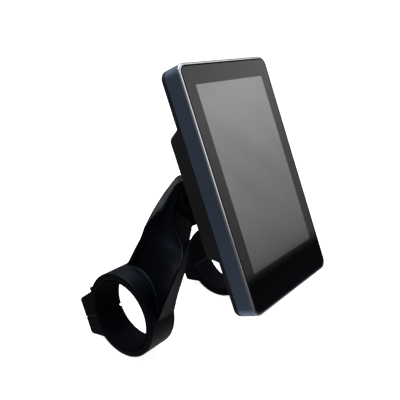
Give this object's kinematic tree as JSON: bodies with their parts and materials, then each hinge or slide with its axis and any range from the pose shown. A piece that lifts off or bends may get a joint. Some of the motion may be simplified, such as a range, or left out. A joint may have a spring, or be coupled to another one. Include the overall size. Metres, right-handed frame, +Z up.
{
  "type": "e-bike display",
  "caption": "Tall flat handlebar display in a metal frame, its back hinged on a twin-arm bracket that clamps round the bar.",
  "frame": {"origin": "on the handlebar's axis, midway between the two clamps", "axes": "+X along the handlebar towards the rider's right, +Z up, -Y towards the rider: the screen faces -Y and leans back"},
  "size_m": [0.0844, 0.0894, 0.1277],
  "materials": {
    "frame_metal": "satin anodised",
    "edge_glass": "polished, black behind the border",
    "foam_tape": "matte",
    "panel": "satin",
    "light_guide": "satin",
    "black_plastic": "fine texture",
    "carrier_plastic": "satin",
    "board": "solder mask",
    "chip_resin": "matte",
    "ferrite": "matte",
    "can_metal": "satin",
    "socket_plastic": "satin",
    "film": "satin film",
    "rubber": "matte",
    "black_steel": "black oxide",
    "zinc_steel": "zinc plated"
  },
  "bodies": {
    "bracket": {"bracket": "black_plastic", "left_liner": "rubber", "right_liner": "rubber", "left_clamp_nut": "zinc_steel", "right_clamp_nut": "zinc_steel", "tilt_nut": "zinc_steel"},
    "display": {"front_frame": "frame_metal", "cover_glass": "edge_glass", "glass_tape": "foam_tape", "lcd_panel": "panel", "backlight": "light_guide", "panel_carrier": "carrier_plastic", "main_board": "board", "processor": "chip_resin", "memory_chip": "chip_resin", "power_coil": "ferrite", "capacitors": "can_metal", "flex_connector": "socket_plastic", "panel_flex": "film", "cable_header": "socket_plastic", "board_screws": "zinc_steel", "rear_cover": "black_plastic", "rear_seal": "rubber", "cover_screws": "black_steel", "cable_grommet": "rubber", "left_tilt_washer": "zinc_steel", "right_tilt_washer": "zinc_steel"},
    "left_clamp_screw": {"left_clamp_screw": "black_steel"},
    "right_clamp_screw": {"right_clamp_screw": "black_steel"},
    "tilt_bolt": {"tilt_bolt": "black_steel"}
  },
  "joints": [
    {"name": "display_tilt", "type": "hinge", "parent": "bracket", "child": "display", "pos_m": [0, -0.01862, 0.05129], "axis": [1, 0, 0], "range_deg": [-35, 25]},
    {"name": "tilt_bolt_turn", "type": "hinge", "parent": "bracket", "child": "tilt_bolt", "pos_m": [0, -0.01862, 0.05129], "axis": [1, 0, 0], "continuous": true},
    {"name": "left_clamp_screw_turn", "type": "hinge", "parent": "bracket", "child": "left_clamp_screw", "pos_m": [-0.035, 0.01976, -0.00822], "axis": [0, 0.3843, 0.9232], "continuous": true},
    {"name": "right_clamp_screw_turn", "type": "hinge", "parent": "bracket", "child": "right_clamp_screw", "pos_m": [0.035, 0.01976, -0.00822], "axis": [0, 0.3843, 0.9232], "continuous": true}
  ]
}
